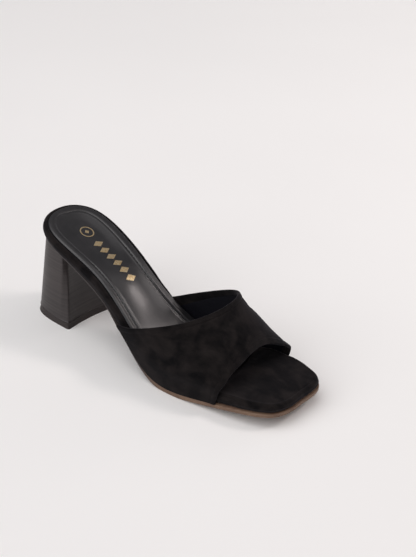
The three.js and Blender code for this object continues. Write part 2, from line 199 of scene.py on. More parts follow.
def edgeAt(x, side):
    # half width of the board at x, on the inner (side 1) or outer (side -1) side
    inner = np.interp(x, innerEdge[:, 0], innerEdge[:, 1])
    outer = np.interp(x, outerEdge[:, 0], outerEdge[:, 1])
    return np.where(side > 0, inner, outer)


def insetPath(path, depth, closed=True):
    # the path moved to its right, square to itself, by depth at each point
    if closed:
        along = np.roll(path, -1, 0) - np.roll(path, 1, 0)
    else:
        along = np.gradient(path, axis=0)
    along = along / np.linalg.norm(along, axis=1, keepdims=True)
    depth = np.broadcast_to(depth, len(path))[:, None]
    return path + np.stack([along[:, 1], -along[:, 0]], -1) * depth


def softened(ring, passes):
    # corners rounded by averaging each point with its neighbours
    for _ in range(passes):
        ring = (np.roll(ring, 1, 0) + np.roll(ring, -1, 0) + 2 * ring) / 4
    return ring


def pairedRing(inner, outer):
    # closed ring made of two sides that run from the same heel point to the same toe point, with
    # point k of one side facing point -k of the other
    a = evenly(inner, last["points"] + 1)
    b = evenly(outer, last["points"] + 1)
    return np.vstack([a, b[::-1][1:-1]])


boardRing = pairedRing(innerEdge, outerEdge)


def plateGrid(ring, insets, heights, faceHeight, spineSteps, underside):
    # rings of a plate from its underside round the edge to its top: ring r is inset by insets[r](x)
    # and stands at heights[r](x); both ends close towards the line between facing points, where
    # the height is underside(x, y, across) or faceHeight(x, y, across)
    rows = []
    count = len(ring)
    mirror = (-np.arange(count)) % count
    for inset, height in zip(insets, heights):
        path = insetPath(ring, inset(ring[:, 0]))
        rows.append(np.column_stack([path, height(path[:, 0], path[:, 1])]))

    def closing(first, height, steps):
        path = first[:, :2]
        middle = (path + path[mirror]) / 2
        found = []
        for share in np.linspace(0, 1, steps + 1)[1:]:
            spot = mix(path, middle, share)
            found.append(np.column_stack([spot, height(spot[:, 0], spot[:, 1], 1 - share)]))
        return found

    below = closing(rows[0], underside, spineSteps[0])[::-1]
    above = closing(rows[-1], faceHeight, spineSteps[1])
    return np.array(below + rows + above)


def gridFaces(rows, columns, wrapRows=False, wrapColumns=False):
    # quads between neighbouring rows and columns of a grid of points
    index = np.arange(rows * columns).reshape(rows, columns)
    if wrapRows:
        index = np.vstack([index, index[:1]])
    if wrapColumns:
        index = np.hstack([index, index[:, :1]])
    corners = [index[:-1, :-1], index[:-1, 1:], index[1:, 1:], index[1:, :-1]]
    return np.stack(corners, -1).reshape(-1, 4)


def turnOutwards(mesh, merge, isSheet):
    # joins points closer than merge, then turns the faces outwards, or upwards on an open sheet
    form = bmesh.new()
    form.from_mesh(mesh)
    if merge:
        bmesh.ops.remove_doubles(form, verts=form.verts, dist=merge * mm)
        bmesh.ops.dissolve_degenerate(form, edges=form.edges, dist=merge * mm * 0.5)
    bmesh.ops.recalc_face_normals(form, faces=form.faces)
    outwards = sum(f.normal.z for f in form.faces) if isSheet else form.calc_volume(signed=True)
    if outwards < 0:
        bmesh.ops.reverse_faces(form, faces=form.faces)
    form.to_mesh(mesh)
    form.free()


def makePiece(name, points, faces, materials, slot, node=None, sharp=None, merge=0.004, **more):
    # mesh from points in millimetres in the last's frame, smooth but for edges past sharp degrees
    mesh = bpy.data.meshes.new(name)
    mesh.from_pydata(np.asarray(points, float).reshape(-1, 3) * mm + lastPlace, [], faces)
    for material in materials:
        mesh.materials.append(material)
    if "faceMaterial" in more:
        mesh.polygons.foreach_set("material_index", np.asarray(more["faceMaterial"], np.int32))
    turnOutwards(mesh, merge, more.get("isSheet", False))
    mesh.shade_smooth()
    if sharp:
        mesh.set_sharp_from_angle(angle=math.radians(sharp))
    piece = bpy.data.objects.new(name, mesh)
    bpy.context.scene.collection.objects.link(piece)
    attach(piece, "root")
    if node:
        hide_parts(node)
    print("made", name, len(mesh.polygons), "faces")
    return piece


def makeGrid(name, grid, materials, slot, node, sharp):
    # closed piece from a grid of rings
    faces = gridFaces(grid.shape[0], grid.shape[1], wrapColumns=True).tolist()
    return makePiece(name, grid, faces, materials, slot, node, sharp)


def linearColour(hexCode, alpha=1.0):
    # sRGB hex to linear light
    parts = [int(hexCode[i : i + 2], 16) / 255 for i in (1, 3, 5)]
    return (*[c / 12.92 if c <= 0.04045 else ((c + 0.055) / 1.055) ** 2.4 for c in parts], alpha)


def addNode(material, kind, inputs=None, **settings):
    # adds a node, sets its settings, and fills or links its inputs
    tree = material.node_tree
    node = tree.nodes.new(kind)
    for key, value in settings.items():
        setattr(node, key, value)
    for key, value in (inputs or {}).items():
        socket = node.inputs[key]
        if isinstance(value, bpy.types.NodeSocket):
            tree.links.new(value, socket)
        else:
            socket.default_value = value
    return node


def perSize(sizeMm):
    # noise scale that gives features of that size on Object coordinates in metres
    return 1000 / sizeMm


def newMaterial(name, **shader):
    # material with one shader, whose sockets take the given values
    material = bpy.data.materials.new(name)
    material.use_nodes = True
    material.node_tree.nodes.clear()
    surface = addNode(material, "ShaderNodeBsdfPrincipled", shader)
    addNode(material, "ShaderNodeOutputMaterial", {"Surface": surface.outputs[0]})
    return material, surface


def feed(surface, name, value):
    # links a pattern to one of the shader's sockets
    surface.id_data.links.new(value, surface.inputs[name])


def noise(material, place, sizeMm, detail, roughness, distortion=0.0):
    # cloudy noise with features of about sizeMm
    inputs = {"Vector": place, "Scale": perSize(sizeMm), "Detail": detail}
    inputs.update({"Roughness": roughness, "Distortion": distortion})
    return addNode(material, "ShaderNodeTexNoise", inputs).outputs["Fac"]


def ramp(material, value, stops):
    # colour ramp with (position, sRGB hex) stops
    node = addNode(material, "ShaderNodeValToRGB", {"Fac": value})
    elements = node.color_ramp.elements
    while len(elements) < len(stops):
        elements.new(0.5)
    for element, (position, hexCode) in zip(elements, stops):
        element.position = position
        element.color = linearColour(hexCode)
    return node.outputs["Color"]


def levels(material, value, low, high, toLow=0.0, toHigh=1.0):
    # stretches low..high to toLow..toHigh
    inputs = {"Value": value, "From Min": low, "From Max": high, "To Min": toLow, "To Max": toHigh}
    return addNode(material, "ShaderNodeMapRange", inputs).outputs["Result"]


def blendColours(material, share, first, second):
    # mix of two colours by share; sockets 0, 6 and 7 are the factor and the two colours
    node = addNode(material, "ShaderNodeMix", {0: share, 6: first, 7: second}, data_type="RGBA")
    return node.outputs[2]


def objectPlace(material, stretch=(1, 1, 1), turn=(0, 0, 0)):
    # place on the piece, stretched and turned
    coordinates = addNode(material, "ShaderNodeTexCoord").outputs["Object"]
    inputs = {"Vector": coordinates, "Scale": stretch, "Rotation": turn}
    return addNode(material, "ShaderNodeMapping", inputs).outputs["Vector"]


def bumps(material, surface, layers):
    # stacks bump nodes: each layer is (height, depth in mm, strength)
    normal = None
    for height, depth, strength in layers:
        inputs = {"Height": height, "Distance": depth * mm, "Strength": strength}
        if normal:
            inputs["Normal"] = normal
        normal = addNode(material, "ShaderNodeBump", inputs).outputs["Normal"]
    feed(surface, "Normal", normal)


# Microfibre suede: a napped polyester face, almost black and fully matte; brushed patches turn the
# nap, so they look a little greyer or browner, and the pile glows softly at grazing angles.
suedeLook = {
    "deep": "#010102",
    "brushed": "#1f1b1a",
    "patch": 17.0,  # mm, a stroke of the thumb
    "streak": 4.0,
    "pile": 0.45,  # real fibres are 0.02 mm; drawn coarser so that they show
    "shader": {
        "Roughness": 0.95,
        "Specular IOR Level": 0.12,
        "Sheen Weight": 0.34,
        "Sheen Roughness": 0.45,
        "Sheen Tint": linearColour("#85828a"),
    },
}


def microfibreSuede():
    look = suedeLook
    material, surface = newMaterial("microfibreSuede", **look["shader"])
    place = objectPlace(material)
    patches = noise(material, place, look["patch"], 2.5, 0.55, 0.6)
    stroked = objectPlace(material, (0.35, 1, 1), (0, 0.5, 0.6))
    streaks = noise(material, stroked, look["streak"], 4, 0.6)
    pile = noise(material, place, look["pile"], 2, 0.7)
    patched = levels(material, patches, 0.42, 0.6)
    streaked = levels(material, streaks, 0.36, 0.66)
    share = blendColours(material, 0.35, patched, streaked)
    share = blendColours(material, 0.28, share, levels(material, pile, 0.25, 0.8))
    feed(surface, "Base Color", ramp(material, share, [(0.1, look["deep"]), (0.9, look["brushed"])]))
    bumps(material, surface, [(patches, 0.5, 0.25), (streaks, 0.15, 0.3), (pile, 0.08, 0.6)])
    return material


# Coated sock leather: smooth polyurethane skin with a fine calf grain, satin, near black.
sockLook = {
    "base": "#141415",
    "wearAndShade": "#1d1c1e",
    "grain": 0.7,
    "mottle": 12.0,
    "shader": {"IOR": 1.5, "Specular IOR Level": 0.55, "Coat Weight": 0.4, "Coat Roughness": 0.24},
}


def coatedLeather():
    look = sockLook
    material, surface = newMaterial("coatedSockLeather", **look["shader"])
    place = objectPlace(material)
    mottle = noise(material, place, look["mottle"], 4, 0.6)
    cells = {"Vector": place, "Scale": perSize(look["grain"])}
    grain = addNode(material, "ShaderNodeTexVoronoi", cells).outputs["Distance"]
    fine = noise(material, place, look["grain"] * 2.2, 3, 0.6)
    feed(surface, "Base Color", ramp(material, mottle, [(0.3, look["base"]), (0.75, look["wearAndShade"])]))
    gloss = levels(material, mottle, 0.3, 0.7, 0.36, 0.46)
    feed(surface, "Roughness", gloss)
    bumps(material, surface, [(fine, 0.06, 0.35), (grain, 0.04, 0.3)])
    return material


# Stacked-leather heel cover: printed film on a moulded core, with fine level lines 1 mm apart. It
# is satin, and the lines catch the light as thin stripes.
heelLook = {"dark": "#1d1818", "light": "#3a3231", "layer": 1.05}


def stackedCover():
    look = heelLook
    material, surface = newMaterial("stackedHeelCover", **{"Specular IOR Level": 0.5, "Coat Weight": 0.1})
    place = objectPlace(material)
    wobble = noise(material, objectPlace(material, (0.25, 0.25, 1)), 30.0, 2, 0.5)
    layers = noise(material, objectPlace(material, (0.02, 0.02, 1)), look["layer"] * 1.6, 2.5, 0.75)
    fibre = noise(material, objectPlace(material, (0.12, 0.12, 1)), 0.8, 3, 0.6)
    layered = levels(material, layers, 0.3, 0.7)
    share = blendColours(material, 0.35, layered, levels(material, wobble, 0.3, 0.7))
    share = blendColours(material, 0.2, share, fibre)
    feed(surface, "Base Color", ramp(material, share, [(0.1, look["dark"]), (0.9, look["light"])]))
    feed(surface, "Roughness", levels(material, layers, 0.2, 0.8, 0.52, 0.4))
    bumps(material, surface, [(layers, 0.08, 0.5), (fibre, 0.03, 0.3)])
    return material


# Moulded brown rubber outsole: satin, slightly mottled, with painted shade that colours it dark grey in the
# waist.
rubberLook = {"dark": "#644d3f", "light": "#7d6552", "waistShade": "#3b3635", "waistShadeTo": (118, 140)}


def brownRubber():
    look = rubberLook
    material, surface = newMaterial("mouldedBrownRubber", **{"Specular IOR Level": 0.4})
    place = objectPlace(material)
    mottle = noise(material, place, 9.0, 4, 0.6)
    grit = noise(material, place, 0.6, 2, 0.5)
    colour = ramp(material, mottle, [(0.3, look["dark"]), (0.7, look["light"])])
    # painted shade: behind the ball the sheet's colour blends to dark grey, standing for the shade it lies
    # in under the waist
    ahead = addNode(material, "ShaderNodeSeparateXYZ", {"Vector": place}).outputs["X"]
    waistEnd, ballStart = [(lastPlace[0] + v * mm) for v in look["waistShadeTo"]]
    wearAndShade = levels(material, ahead, waistEnd, ballStart)
    colour = blendColours(material, wearAndShade, linearColour(look["waistShade"]), colour)
    feed(surface, "Base Color", colour)
    feed(surface, "Roughness", levels(material, grit, 0.2, 0.8, 0.5, 0.68))
    bumps(material, surface, [(mottle, 0.15, 0.2), (grit, 0.05, 0.5)])
    return material


# Even finishes: one fine noise, its grain in mm, gives a little colour, relief and uneven gloss.
plainLooks = {
    # thin polyurethane-coated backing cloth, smoother and bluer than the suede
    "liningCloth": {
        "grain": (0.8, 2, 0.5),
        "dark": "#08080e",
        "light": "#0f0f18",
        "relief": 0.4,
        "shader": {"Roughness": 0.5, "Specular IOR Level": 0.4},
    },
    # hard moulded rubber, black-brown, dull, with fine grit
    "topLiftRubber": {
        "grain": (0.7, 3, 0.6),
        "dark": "#2b2625",
        "light": "#3b3433",
        "relief": 0.5,
        "shader": {"Specular IOR Level": 0.35},
        "roughness": (0.55, 0.7),
    },
    # waxed polyester, satin; the noise stands for its twist
    "blackThread": {
        "grain": (0.35, 2, 0.5),
        "dark": "#060606",
        "light": "#0f0f10",
        "relief": 0.5,
        "shader": {"Roughness": 0.55, "Specular IOR Level": 0.4},
    },
}


def plainFinish(name):
    look = plainLooks[name]
    material, surface = newMaterial(name, **look["shader"])
    fine = noise(material, objectPlace(material), *look["grain"])
    feed(surface, "Base Color", ramp(material, fine, [(0.3, look["dark"]), (0.7, look["light"])]))
    if "roughness" in look:
        feed(surface, "Roughness", levels(material, fine, 0.2, 0.8, *look["roughness"]))
    bumps(material, surface, [(fine, 0.05, look["relief"])])
    return material


# Hot-stamped gold foil: a thin metal film that follows the grain beneath, a little rubbed.
foilLook = {"rubbed": "#d3b27a", "bright": "#f8e6be", "rub": 1.6}


def goldFoil():
    look = foilLook
    material, surface = newMaterial("stampedGoldFoil", **{"Metallic": 1.0})
    place = objectPlace(material)
    rub = noise(material, place, look["rub"], 3, 0.6)
    feed(surface, "Base Color", ramp(material, rub, [(0.3, look["rubbed"]), (0.65, look["bright"])]))
    feed(surface, "Roughness", levels(material, rub, 0.3, 0.7, 0.42, 0.28))
    bumps(material, surface, [(noise(material, place, 0.5, 2, 0.5), 0.03, 0.4)])
    return material


suede = microfibreSuede()
sockLeather = coatedLeather()
lining = plainFinish("liningCloth")
heelCover = stackedCover()
outsoleRubber = brownRubber()
topLiftRubber = plainFinish("topLiftRubber")
thread = plainFinish("blackThread")
foil = goldFoil()
print("materials ready")


# Insole board, wrapped in suede. The band is let in beside it, and the sock into its top.
board = {
    "tuck": 0.7,  # how far its edge is drawn in beside the band
    "bandFrom": (84, 94.5),
    "bandTo": (196, 203),
    "rimFrom": (97, 105),  # where the rim round the sock goes down under the band
    "rimBack": 8,
    "round": 2.6,
    "underRound": 2.0,
    "underRise": 2.0,
    "sideFull": 0.35,
    "rimWidth": 1.2,
    "sockRecess": 1.4,
    "flushRecess": 0.15,
    "flushFrom": (2, 9),  # ahead of the sock's end
    "toeSoftness": 0.35,
    "toeSoftFrom": (188, 205),
    "cupTo": (40, 85),  # the heel cup is full before the first and gone after the second
    "sockEnd": 176,
    "glue": 0.3,
}


def boardInset(x):
    # how far the edge is drawn in beside the band
    leaving = 1 - smoothStep(x, *board["bandTo"])
    return board["tuck"] * smoothStep(x, *board["bandFrom"]) * leaving


def boardFace(x):
    # the board's top inside its rounded edge: let down under the sock, flush at the toe
    ahead = smoothStep(x - board["sockEnd"], *board["flushFrom"])
    return boardTop(x) - mix(board["sockRecess"], board["flushRecess"], ahead)


def rimHeight(x):
    # under the band the rim round the sock is let down with it
    leaving = 1 - smoothStep(x - board["sockEnd"], 0, board["rimBack"])
    return mix(boardTop(x), boardFace(x) + 0.02, smoothStep(x, *board["rimFrom"]) * leaving)


def cupDepth(x):
    # depth of the heel cup under the sock
    return sockShape["cup"] * (1 - smoothStep(x, *board["cupTo"]))


def makeInsole():
    # edge section: quarter ellipses under and over, with a slightly full side between them
    insets, heights = [], []
    turn = np.linspace(0, math.pi / 2, 9)
    for a in turn:
        depth = board["underRound"] * (1 - math.sin(a))
        rise = board["underRise"] * (1 - math.cos(a))
        insets.append(lambda x, d=depth: boardInset(x) + d)
        heights.append(lambda x, y, r=rise: featherHeight(x) + board["glue"] / 2 + r)
    low = board["glue"] / 2 + board["underRise"]
    high = board["round"]
    for share in np.linspace(0, 1, 8)[1:-1]:
        full = board["sideFull"] * math.sin(math.pi * share)
        insets.append(lambda x, f=full: boardInset(x) - f)
        heights.append(lambda x, y, s=share: mix(featherHeight(x) + low, rimHeight(x) - high, s))
    for a in turn:
        depth = board["round"] * (1 - math.cos(a))
        drop = board["round"] * (1 - math.sin(a))
        insets.append(lambda x, d=depth: boardInset(x) + d)
        heights.append(lambda x, y, r=drop: rimHeight(x) - r)
    for share in np.linspace(0, 1, 5)[1:]:
        insets.append(lambda x, s=share: boardInset(x) + board["round"] + board["rimWidth"] * s)
        heights.append(lambda x, y, s=share: mix(rimHeight(x), boardFace(x), smoothStep(s, 0, 1)))

    def face(x, y, across):
        cushion = board["toeSoftness"] * (1 - across**2) * smoothStep(x, *board["toeSoftFrom"])
        cupping = cupDepth(x) * smoothStep(1 - across, 0, 0.5)
        return boardFace(x) + cushion - cupping

    def underside(x, y, across):
        return featherHeight(x) + board["glue"] / 2

    grid = plateGrid(boardRing, insets, heights, face, (6, 26), underside)
    return makeGrid("wrappedInsole", grid, [suede], "suede", "insole", 70)


# Sock: padded, its edge turned under, a stitched channel a little way in from the waist forwards, a
# crowned panel between the channels, a shallow cup under the heel. It lies in the board's recess.
sockShape = {
    "margin": 3.6,
    "frontFrom": 148.0,  # a superellipse under the band closes it
    "frontReach": 30.0,
    "frontMiddle": 2.0,
    "frontSquareness": 2.6,
    "thick": 1.9,
    "edgeRound": 1.3,
    "channelInner": 6.6,
    "channelOuter": 5.2,
    "channelDepth": 0.75,
    "channelWidth": 0.45,
    "beadRise": 0.5,
    "beadOff": 1.5,
    "beadWidth": 1.0,
    "heelShare": 0.22,  # of channel and beads left at the heel
    "channelFrom": (50, 76),
    "bandRise": 0.35,
    "panelRise": 2.6,
    "panelSettled": 0.9,
    "panelStart": 2.4,
    "panelFrom": (55, 90),
    "panelSettles": (98, 122),
    "cup": 1.6,
    "cupInset": (4.5, 17.0),
    "cupTo": (42, 88),
}


def sockOutline():
    # the board's edge moved in by the margin, closed in front by a round end under the band
    d = sockShape
    turn = np.linspace(0, math.pi / 2, 60)
    power = 2 / d["frontSquareness"]
    tongueX = d["frontFrom"] + d["frontReach"] * np.sin(turn) ** power
    fall = np.cos(turn) ** power
    middle = d["frontMiddle"]
    sides = []
    for path in bothSides(insetPath(edge, d["margin"])):
        rear = path[path[:, 0] <= d["frontFrom"]]
        width = np.interp(tongueX, path[:, 0], path[:, 1]) - middle
        sides.append(np.vstack([rear, np.stack([tongueX, middle + width * fall], -1)[1:]]))
    sides[1][0] = sides[0][0]
    return pairedRing(*sides)


def channelInset(y):
    # from the outer side's distance to the inner side's, over the middle
    return mix(sockShape["channelOuter"], sockShape["channelInner"], smoothStep(y, -4, 4))


def sockRelief(x, y, inset):
    # height above the plain sock at a distance in from its edge: the channel and its two beads are
    # bells, the outer band is half a sine, the panel a parabola over the sock's half width
    d = sockShape
    front = smoothStep(x, *d["channelFrom"])
    channelAt = channelInset(y)
    relief = -d["channelDepth"] * bell(inset, channelAt, d["channelWidth"])
    for off in (-d["beadOff"], d["beadOff"]):
        relief = relief + d["beadRise"] * bell(inset, channelAt + off, d["beadWidth"])
    relief = relief * mix(d["heelShare"], 1, front)
    relief = relief + d["bandRise"] * np.sin(np.pi * np.clip(inset / channelAt, 0, 1))
    start = channelAt + d["panelStart"]
    half = (edgeAt(x, 1) - edgeAt(x, -1)) / 2 - d["margin"]
    across = 1 - np.clip((inset - start) / (half - start), 0, 1)
    settled = mix(d["panelRise"], d["panelSettled"], smoothStep(x, *d["panelSettles"]))
    relief = relief + settled * (1 - across**2) * smoothStep(x, *d["panelFrom"])
    cupShare = 1 - smoothStep(x, *d["cupTo"])
    return relief - d["cup"] * smoothStep(inset, *d["cupInset"]) * cupShare


def sockBase(x):
    # the recess floor plus the glue line
    return boardTop(x) - board["sockRecess"] + board["glue"]


def sockTop(x, y, inset):
    # base, thickness and relief, with a quarter circle at the edge
    d = sockShape
    arc = np.sqrt(np.maximum(0, d["edgeRound"] ** 2 - np.maximum(0, d["edgeRound"] - inset) ** 2))
    return sockBase(x) + d["thick"] - d["edgeRound"] + arc + sockRelief(x, y, inset)


sockRing = sockOutline()


def insetFrom(ring, x, y):
    # distance from each point to the nearest of the ring's points
    spots = np.stack([np.ravel(x), np.ravel(y)], -1)
    nearest = np.empty(len(spots))
    for start in range(0, len(spots), 4000):
        part = spots[start : start + 4000]
        gaps = part[:, None, :] - ring[None, :, :]
        nearest[start : start + 4000] = np.sqrt((gaps**2).sum(-1).min(1))
    return nearest.reshape(np.shape(x))


def makeSock():
    # rings at growing distances in from the edge, then a spine
    d = sockShape
    rounding = d["edgeRound"] * (1 - np.cos(np.linspace(0, math.pi / 2, 7)))
    steps = np.concatenate([rounding, np.arange(1.65, 14, 0.33)])
    insets = [lambda x: 0.6 + 0 * x, lambda x: 0.15 + 0 * x]
    heights = [lambda x, y: sockBase(x), lambda x, y: sockBase(x) + 0.25]
    for depth in steps:
        insets.append(lambda x, inset=depth: inset + 0 * x)
        heights.append(lambda x, y, inset=depth: sockTop(x, y, inset))
    deepest = steps[-1]

    def face(x, y, across):
        return sockTop(x, y, np.maximum(insetFrom(sockRing, x, y), deepest))

    def underside(x, y, across):
        return sockBase(x) - cupDepth(x) * smoothStep(1 - across, 0.1, 0.5)

    grid = plateGrid(sockRing, insets, heights, face, (6, 22), underside)
    piece = makeGrid("paddedSock", grid, [sockLeather], "sock", "sock", 80)


# Row of stitches in the channel: short rods with round ends, sunk a little at both ends.
stitch = {
    "pitch": 3.6,
    "length": 2.7,
    "radius": 0.4,
    "proud": 0.12,
    "sink": 0.22,
    "nib": 0.004,  # radius left at a rod's ends
    "sides": 6,
    "rings": 7,
    "from": 58,
    "to": 160,
}


def makeStitches():
    # each stitch is a rod along the channel: points are centre + along * s + ring around
    s = stitch
    half = len(sockRing) // 2
    depth = channelInset(np.where(np.arange(len(sockRing)) <= half, 9, -9))
    path = insetPath(sockRing, depth)
    found = []
    for side in (path[: half + 1], path[half:][::-1]):
        side = side[(side[:, 0] > s["from"]) & (side[:, 0] < s["to"])]
        z = sockTop(side[:, 0], side[:, 1], channelInset(side[:, 1])) + s["proud"]
        line = np.column_stack([side, z])
        run = np.concatenate([[0], np.cumsum(np.linalg.norm(np.diff(line, axis=0), axis=1))])
        starts = np.arange(1.0, run[-1] - s["length"], s["pitch"])
        where = np.stack([starts, starts + s["length"]], -1)
        found.append(np.stack([np.interp(where, run, line[:, k]) for k in range(3)], -1))
    ends = np.concatenate(found)
    along = ends[:, 1] - ends[:, 0]
    along /= np.linalg.norm(along, axis=1, keepdims=True)
    across = np.cross(along, [0, 0, 1.0])
    across /= np.linalg.norm(across, axis=1, keepdims=True)
    up = np.cross(across, along)
    centre = (ends[:, 0] + ends[:, 1]) / 2
    centre, along, across, up = [v[:, None, None] for v in (centre, along, across, up)]
    u = np.linspace(-1, 1, s["rings"])[:, None, None]
    girth = s["radius"] * np.sqrt(np.maximum(0, 1 - np.abs(u) ** 4)) + s["nib"]
    turn = np.linspace(0, 2 * math.pi, s["sides"], endpoint=False)[:, None]
    spots = centre + along * (u * s["length"] / 2) - up * (s["sink"] * u**4)
    spots = spots + across * (girth * np.cos(turn)) + up * (girth * np.sin(turn))
    one = gridFaces(s["rings"], s["sides"], wrapColumns=True)
    each = s["rings"] * s["sides"]
    faces = (one[None] + (np.arange(len(ends)) * each)[:, None, None]).reshape(-1, 4).tolist()
    for i in range(len(ends)):
        faces.append([i * each + k for k in range(s["sides"])][::-1])
        faces.append([(i + 1) * each - s["sides"] + k for k in range(s["sides"])])
    makePiece("sockStitches", spots, faces, [thread], "sock", merge=0)


# Band: its two free edges, from the inner foot over the crest to the outer foot, as shares of the
# length, of half the ball width and of that edge's instep height.
band = {
    "wall": 1.8,
    "over": 1.4,  # how far it stands outside the board edge
    "collarRise": 63,
    "collarAlong": (0.418, 0.475, 0.553, 0.644, 0.692, 0.7045, 0.68, 0.621, 0.532, 0.468, 0.41),
    "collarSide": (0.568, 0.673, 0.808, 0.83, 0.618, 0.205, -0.228, -0.588, -0.808, -0.845, -0.823),
    "collarHeight": (0.5, 0.606, 0.746, 0.911, 0.997, 1, 0.943, 0.838, 0.695, 0.594, 0.527),
    "openingRise": 41.5,
    "openingAlong": (
        0.843, 0.854, 0.857, 0.855, 0.849, 0.842, 0.84,
        0.84, 0.836, 0.827, 0.818, 0.808, 0.802,
    ),
    "openingSide": (
        1.078, 1.08, 0.998, 0.835, 0.618, 0.38, 0.128,
        -0.123, -0.358, -0.568, -0.728, -0.828, -0.828,
    ),
    "openingHeight": (
        0.173, 0.427, 0.634, 0.781, 0.892, 0.964, 1,
        0.988, 0.916, 0.79, 0.612, 0.412, 0.186,
    ),
    "crown": 4.3,
    "crownLean": 1.3,
    "crestSide": 5,
    "edgePull": 6,  # powers with which the free edges and the feet are drawn to the board
    "footPull": 4,
    "upright": 12,  # height over which the wall stands straight up from the board
    "rows": 110,
    "columns": 170,
    "foldWidth": 3.4,
    "foldRise": 0.4,
    "foldStep": 0.9,
    "foldGroove": 0.18,
    "grooveWidth": 0.6,
    "lipFall": 2.4,  # how far the toe edge of the band turns down
    "lipWidth": 9.0,
    "turnIn": 5,
    "turnInStep": 0.35,
}
# worn-in creases: height, middle in s, its drift with t, width in s, middle and width in t
creases = (
    (-0.35, 0.62, 0.25, 0.05, 0.72, 0.16),
    (0.3, 0.75, 0.2, 0.06, 0.66, 0.16),
    (-0.3, 0.18, -0.3, 0.05, 0.4, 0.14),
    (0.25, 0.45, 0, 0.12, 0.3, 0.12),
)


def bandSkin(s, t):
    # patch stretched between collar (s 0), opening (s 1) and a foot on each side that follows the
    # board edge (t 0 inner, t 1 outer), crowned outwards and held upright against the board
    b = band
    half = last["ballWidth"] / 2

    def freeEdge(kind):
        table = [np.array(b[kind + "Along"]) * boardLength, np.array(b[kind + "Side"]) * half]
        table.append(np.array(b[kind + "Height"]) * b[kind + "Rise"])
        return curveThrough(np.stack(table, -1), samples=800)

    def along(path, at):
        where = np.linspace(0, 1, len(path))
        return np.stack([np.interp(at, where, path[:, k]) for k in range(3)], -1)

    collar, opening = freeEdge("collar"), freeEdge("opening")
    start = {1: collar[0], -1: collar[-1]}
    end = {1: opening[0], -1: opening[-1]}

    def foot(side, share):
        x = mix(start[side][0], end[side][0], share)
        y = edgeAt(x, side) + side * b["over"]
        return np.stack([x, y, featherHeight(x) + board["glue"] / 2], -1)

    def pinned(path, share):
        # the free edge with its two ends drawn to the board
        spot = along(path, t)
        for side, end, near in ((1, 0, 1 - t), (-1, 1, t)):
            miss = foot(side, np.zeros_like(t) + share) - along(path, np.zeros_like(t) + end)
            spot = spot + miss * (near ** b["edgePull"])[..., None]
        return spot

    spot = mix(pinned(collar, 0.0), pinned(opening, 1.0), s[..., None])
    for side, pull in ((1, (1 - t) ** b["footPull"]), (-1, t ** b["footPull"])):
        straight = mix(foot(side, np.zeros_like(s)), foot(side, np.ones_like(s)), s[..., None])
        spot = spot + (foot(side, s) - straight) * pull[..., None]
    out = np.stack([0 * t, spot[..., 1] - b["crestSide"], spot[..., 2] - boardTop(spot[..., 0])], -1)
    out = out / np.linalg.norm(out, axis=-1, keepdims=True)
    crown = b["crown"] * np.sin(np.pi * s ** b["crownLean"]) * np.sin(np.pi * t)
    spot = spot + out * crown[..., None]
    side = np.where(t < 0.5, 1, -1)
    upright = 1 - smoothStep(spot[..., 2] - boardTop(spot[..., 0]), 0, b["upright"])
    spot[..., 1] = mix(spot[..., 1], edgeAt(spot[..., 0], side) + side * b["over"], upright)
    return spot


def bandCreases(s, t):
    # soft troughs and ridges in the worn-in suede, as height along the skin's normal
    relief = 0
    for height, middle, drift, width, place, spread in creases:
        relief = relief + height * bell(s + drift * t, middle, width) * bell(t, place, spread)
    return relief


